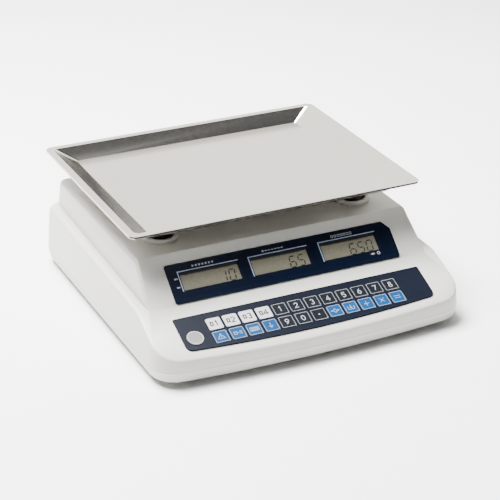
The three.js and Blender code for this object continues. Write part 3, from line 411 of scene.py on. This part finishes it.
for key_name in DIGIT_KEYS + ["key_point"] + COMMAND_KEYS:
    face = Face(key_name)
    ink = Ink(face)
    ink.line(rounded_border(face, BORDER_INSET, BORDER_CORNER), BORDER_PEN, closed=True)
    if key_name in DIGIT_KEYS:
        write_figure(ink, key_name[-1], 0, 0, FIGURE_HEIGHT, FIGURE_PEN)
    elif key_name == "key_point":
        ink.fill(ring(0, 0, POINT_RADIUS, POINT_RADIUS, 12))
    else:
        for points, closed in SIGNS[key_name]:
            ink.line(points, SIGN_PEN, closed)
    ink.make(key_name.replace("key_", "print_"), key_name.replace("key_", ""), print_white)

for key_name in MEMORY_KEYS:
    ink = Ink(Face(key_name))
    for store_x in (STORE_LEFT, STORE_RIGHT):
        ink.line([(store_x, -STORE_HALF_HEIGHT), (store_x, STORE_HALF_HEIGHT)], MEMORY_PEN)
    for store_y in (STORE_BAR, -STORE_BAR):
        ink.line([(STORE_LEFT, store_y), (STORE_RIGHT, store_y)], MEMORY_PEN)
    write_figure(ink, key_name[-1], MEMORY_FIGURE_RIGHT, 0, MEMORY_HEIGHT, MEMORY_PEN)
    ink.make(key_name.replace("key_", "print_"), key_name.replace("key_", ""), print_dark)

level_face = Face("bubble_level")
ink = Ink(level_face)
ink.line(ring(0, 0, level_face.width / MM / 2 - LEVEL_RING_INSET,
              level_face.height / MM / 2 - LEVEL_RING_INSET, 40), LEVEL_RING_PEN, closed=True)
ink.make("level_ring", "housing", print_white)

# %% [markdown]
# ## Display windows
# The three windows are holes in the lens with a module behind each. Their rectangles come from the
# lens itself: the inner corners that lie over each module. Each window has a pale rule along its left
# and top sides, a title of plain signs, a dark band along the top that is the module's mask deepened by
# painted shadow from the window's top edge, a row of ticks, and figures made of seven bars.

# %% Display windows
lens = Face("display_lens")
MODULES = sorted(names_starting("lcd_"), key=lambda n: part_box(n)[0].x)
LENS_MARGIN = 3.0 * MM


def window_over(module_name):
    """Left, right, low and high sides of the window over a module, in millimetres on the lens."""
    low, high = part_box(module_name)
    inner = []
    for corner in lens.flats:
        x, y = lens.flat_position(corner)
        inside = abs(x) < lens.width / 2 - LENS_MARGIN and abs(y) < lens.height / 2 - LENS_MARGIN
        if inside and low.x - MM < corner.x < high.x + MM:
            inner.append((x / MM, y / MM))
    xs, ys = [p[0] for p in inner], [p[1] for p in inner]
    return min(xs), max(xs), min(ys), max(ys)


WINDOWS = [window_over(name) for name in MODULES]
print("windows on the lens:", [tuple(round(v, 1) for v in w) for w in WINDOWS])
RULE_LEFT, RULE_TOP, RULE_RIGHT, RULE_LOW, RULE_PEN = 1.9, 1.3, 1.7, 0.75, 1.1
TITLE_UP, TITLE_HEIGHT = 4.2, 3.0
TITLE_PEN, TITLE_PITCH, TITLE_SHARE = 0.5, 3.5, 0.43
POINTER_SHARES = (0.68, 0.22)  # how far up the first window the two pointers stand
POINTER_TAIL, POINTER_NECK, POINTER_TIP, POINTER_PEN = 6.6, 4.6, 2.8, 1.5
PLUG_FROM_RIGHT, PLUG_DROP = 9.0, 3.4
PRONG_SPACE, PRONG_TIP, CORD_END = 0.5, 2.5, 2.4
LAMP_FROM_PLUG, LAMP_RADIUS, LAMP_PEN = 6.6, 1.4, 0.9
print_rule = shader("print_rule", (0.26, 0.32, 0.46), 0.4, drift=0.02, grain=1800, bump=0.03)

rules = Ink(lens)
titles = Ink(lens)
for number, (left, right, low, high) in enumerate(WINDOWS):
    rules.line([(left - RULE_LEFT + RULE_PEN / 2, low - RULE_LOW),
                (left - RULE_LEFT + RULE_PEN / 2, high + RULE_TOP - RULE_PEN / 2),
                (right + RULE_RIGHT, high + RULE_TOP - RULE_PEN / 2)], RULE_PEN)
    title_middle, title_y = left + TITLE_SHARE * (right - left), high + TITLE_UP
    for step in range(-3, 4):
        x = title_middle + step * TITLE_PITCH
        if number == 0 or (number == 1 and step == -3):
            titles.fill(block(x, title_y, 1.9, TITLE_HEIGHT - 1))
        elif number == 1:
            titles.line([(x - 1.2, title_y), (x + 1.2, title_y)], 2 * TITLE_PEN)
        else:
            titles.line(block(x, title_y, 2.0, TITLE_HEIGHT - 0.6), TITLE_PEN, closed=True)

first_left, last_right = WINDOWS[0][0], WINDOWS[-1][1]
for share in POINTER_SHARES:
    pointer_y = WINDOWS[0][2] + share * (WINDOWS[0][3] - WINDOWS[0][2])
    titles.line([(first_left - POINTER_TAIL, pointer_y), (first_left - POINTER_NECK, pointer_y)], POINTER_PEN)
    head_back = first_left - POINTER_TIP - 1.4
    titles.fill([(head_back, pointer_y - 1), (first_left - POINTER_TIP, pointer_y),
                 (head_back, pointer_y + 1)])
plug_x, plug_y = last_right - PLUG_FROM_RIGHT, WINDOWS[-1][2] - PLUG_DROP
titles.fill(block(plug_x, plug_y, 2.2, 1.8))
for prong in (-PRONG_SPACE, PRONG_SPACE):
    titles.line([(plug_x + 1, plug_y + prong), (plug_x + PRONG_TIP, plug_y + prong)], 0.4)
titles.line([(plug_x - CORD_END, plug_y), (plug_x - 1, plug_y)], TITLE_PEN)
titles.line(ring(plug_x + LAMP_FROM_PLUG, plug_y, LAMP_RADIUS, LAMP_RADIUS), LAMP_PEN, closed=True)
rules.make("window_rules", "housing", print_rule)
titles.make("window_titles", "housing", print_white)

# %% [markdown]
# ## Liquid-crystal figures
# A seven-bar figure is a set of slanted blocks, each bar switched on by its letter. The band across the
# top of the glass is the module's dark mask deepened by painted shadow from the window's top edge.

# %% Liquid-crystal figures
BARS = {"0": "abcdef", "1": "bc", "5": "acdfg", "6": "acdefg"}
READINGS = ("10", "65", "650")
BAR_HEIGHT, BAR_WIDTH, BAR_PEN, BAR_PITCH = 11.6, 6.0, 1.25, 9.6
BAR_SLANT = 0.09
BAR_END_GAP = 0.16
FIGURES_FROM_RIGHT, FIGURES_LIFT = 8.2, 0.9
BAND_DEPTH, BAND_OVERLAP = 2.9, 0.6
TICK_PITCH, TICK_WIDTH, TICK_HEIGHT, TICK_DROP, TICK_MARGIN = 1.55, 0.6, 0.9, 0.5, 6
bar_ink = shader("lcd_bar", (0.007, 0.0068, 0.005), 0.35, drift=0.05, bump=0.02)
# The band ink is the module's dark mask darkened further by painted shadow from the window's top edge.
mask_and_shadow_ink = shader("lcd_mask_and_shadow", (0.006, 0.0055, 0.0045), 0.35, drift=0.08, grain=1800, bump=0.02)


def seven_bars(ink, figure, x, y):
    half_height, half_width = BAR_HEIGHT / 2, BAR_WIDTH / 2
    ends = {
        "a": ((-half_width, half_height), (half_width, half_height)),
        "b": ((half_width, half_height), (half_width, 0)),
        "c": ((half_width, 0), (half_width, -half_height)),
        "d": ((half_width, -half_height), (-half_width, -half_height)),
        "e": ((-half_width, -half_height), (-half_width, 0)),
        "f": ((-half_width, 0), (-half_width, half_height)),
        "g": ((-half_width, 0), (half_width, 0)),
    }
    for letter in BARS[figure]:
        (x0, y0), (x1, y1) = ends[letter]
        inset = BAR_END_GAP + BAR_PEN / 2
        length = math.hypot(x1 - x0, y1 - y0)
        step = ((x1 - x0) * inset / length, (y1 - y0) * inset / length)
        points = [(x0 + step[0], y0 + step[1]), (x1 - step[0], y1 - step[1])]
        ink.line([(x + px + BAR_SLANT * py, y + py) for px, py in points], BAR_PEN)


for module_name, window, reading in zip(MODULES, WINDOWS, READINGS):
    glass = Face(module_name)
    left, low = glass.flat_position(lens.spot((window[0] * MM, window[2] * MM), 0))
    right, high = glass.flat_position(lens.spot((window[1] * MM, window[3] * MM), 0))
    left, right, low, high = left / MM, right / MM, low / MM, high / MM
    bars = Ink(glass)
    for place, figure in enumerate(reversed(reading)):
        seven_bars(bars, figure, right - FIGURES_FROM_RIGHT - place * BAR_PITCH,
                   low + FIGURES_LIFT + BAR_HEIGHT / 2)
    tick_height = high - BAND_DEPTH - TICK_DROP
    for tick in range(int((right - left - 2 * TICK_MARGIN) / TICK_PITCH)):
        bars.fill(block(left + TICK_MARGIN + tick * TICK_PITCH, tick_height, TICK_WIDTH, TICK_HEIGHT))
    bars.make(module_name + "_figures", "housing", bar_ink)
    # Painted shadow: a dark band along the top of the glass, standing for the window's top edge shading the
    # module's mask.
    band = Ink(glass)
    band.fill(block((left + right) / 2, high - BAND_DEPTH / 2 + BAND_OVERLAP / 2, right - left,
                    BAND_DEPTH + BAND_OVERLAP))
    band.make(module_name + "_band", "housing", mask_and_shadow_ink)

# %% [markdown]
# ## Studio
# A pale table runs out of sight under one large soft light above and behind, so the shadows fall
# forwards. Polished steel shows only what stands round it, so the pan needs its own scenery: a bright
# card behind for the floor of the pan, a low dark card for the left fold, and a small card overhead in
# front for the left half of the back fold. The cards are hidden from the camera, so they light the scene
# and show in the steel but never in the picture itself.

# %% Studio floor and light
def flat_piece(name, corners, material):
    sheet = bmesh.new()
    sheet.faces.new([sheet.verts.new(corner) for corner in corners])
    data = bpy.data.meshes.new(name)
    sheet.to_mesh(data)
    sheet.free()
    data.materials.append(material)
    made = bpy.data.objects.new(name, data)
    bpy.context.scene.collection.objects.link(made)
    return made


TABLE_HALF, TABLE_HEIGHT = 9.0, -0.0003
table_paper = shader("table_paper", (0.86, 0.86, 0.86), 0.6, drift=0.004, grain=300, bump=0.02)
flat_piece("table", [(x * TABLE_HALF, y * TABLE_HALF, TABLE_HEIGHT)
                     for x, y in ((-1, -1), (1, -1), (1, 1), (-1, 1))], table_paper)

VIEW_TURN = math.radians(25.4)
AWAY = Vector((math.sin(VIEW_TURN), math.cos(VIEW_TURN), 0))
SIDEWAYS = Vector((AWAY.y, -AWAY.x, 0))


def standing_card(name, distance, half_width, low, high, material):
    foot = AWAY * distance
    corners = [foot + SIDEWAYS * side * half_width + Vector((0, 0, height))
               for side, height in ((-1, low), (1, low), (1, high), (-1, high))]
    flat_piece(name, corners, material).visible_camera = False


def glowing(name, colour, strength):
    made = bpy.data.materials.new(name)
    made.use_nodes = True
    surface = made.node_tree.nodes["Principled BSDF"]
    surface.inputs["Base Color"].default_value = (0, 0, 0, 1)
    surface.inputs["Roughness"].default_value = 1
    surface.inputs["Emission Color"].default_value = (*colour, 1)
    surface.inputs["Emission Strength"].default_value = strength
    return made


BRIGHT_DISTANCE, BRIGHT_HALF_WIDTH, BRIGHT_LOW, BRIGHT_HIGH, BRIGHT_STRENGTH = 1.9, 2.2, 0.4, 2.6, 3.0
DARK_DISTANCE, DARK_HALF_WIDTH, DARK_LOW, DARK_HIGH = 1.06, 1.3, 0.0, 0.3
WARM_WHITE, CARD_BLACK = (1, 0.985, 0.94), (0.03, 0.03, 0.03)
standing_card("bright_card", BRIGHT_DISTANCE, BRIGHT_HALF_WIDTH, BRIGHT_LOW, BRIGHT_HIGH,
              glowing("bright_card", WARM_WHITE, BRIGHT_STRENGTH))
standing_card("dark_card", DARK_DISTANCE, DARK_HALF_WIDTH, DARK_LOW, DARK_HIGH,
              shader("dark_card", CARD_BLACK, 0.9))


def soft_light(name, place, aim, size, watts):
    data = bpy.data.lights.new(name, "AREA")
    data.shape = "RECTANGLE"
    data.size = data.size_y = size
    data.energy = watts
    lamp = bpy.data.objects.new(name, data)
    lamp.location = place
    lamp.rotation_mode = "QUATERNION"
    lamp.rotation_quaternion = (Vector(aim) - Vector(place)).to_track_quat("-Z", "Y")
    bpy.context.scene.collection.objects.link(lamp)


TOP_PLACE, TOP_AIM, TOP_SIZE, TOP_WATTS = (-0.4, 0.55, 1.8), (0, 0, 0), 1.1, 300
FRONT_PLACE, FRONT_AIM, FRONT_SIZE, FRONT_WATTS = (0.05, -0.55, 1.35), (0.05, 0, 0.1), 0.8, 1.2
ROOM_COLOUR, ROOM_STRENGTH = (0.96, 0.98, 1, 1), 0.12
soft_light("top_softbox", TOP_PLACE, TOP_AIM, TOP_SIZE, TOP_WATTS)
soft_light("front_card", FRONT_PLACE, FRONT_AIM, FRONT_SIZE, FRONT_WATTS)
world = bpy.data.worlds.new("surround")
bpy.context.scene.world = world
world.use_nodes = True
surround = world.node_tree.nodes["Background"]
surround.inputs["Color"].default_value = ROOM_COLOUR
surround.inputs["Strength"].default_value = ROOM_STRENGTH

# %% [markdown]
# ## Camera
# A long lens from the front left, a little above the goods, as for a catalogue picture.

# %% Camera
CAMERA_AZIMUTH = -25.4
CAMERA_ELEVATION = 25.79
CAMERA_DISTANCE = 1.7608
CAMERA_TARGET = Vector((0.0023, 0, 0.0442))
LENS_MM = 122.2
SENSOR_MM = 36.0

azimuth, elevation = math.radians(CAMERA_AZIMUTH), math.radians(CAMERA_ELEVATION)
towards_camera = Vector((
    math.sin(azimuth) * math.cos(elevation),
    -math.cos(azimuth) * math.cos(elevation),
    math.sin(elevation)))
camera_data = bpy.data.cameras.new("camera")
camera_data.lens = LENS_MM
camera_data.sensor_width = SENSOR_MM
camera = bpy.data.objects.new("camera", camera_data)
camera.location = CAMERA_TARGET + towards_camera * CAMERA_DISTANCE
camera.rotation_mode = "QUATERNION"
camera.rotation_quaternion = (-towards_camera).to_track_quat("-Z", "Y")
bpy.context.scene.collection.objects.link(camera)
bpy.context.scene.camera = camera
print("camera at", tuple(round(v, 3) for v in camera.location))
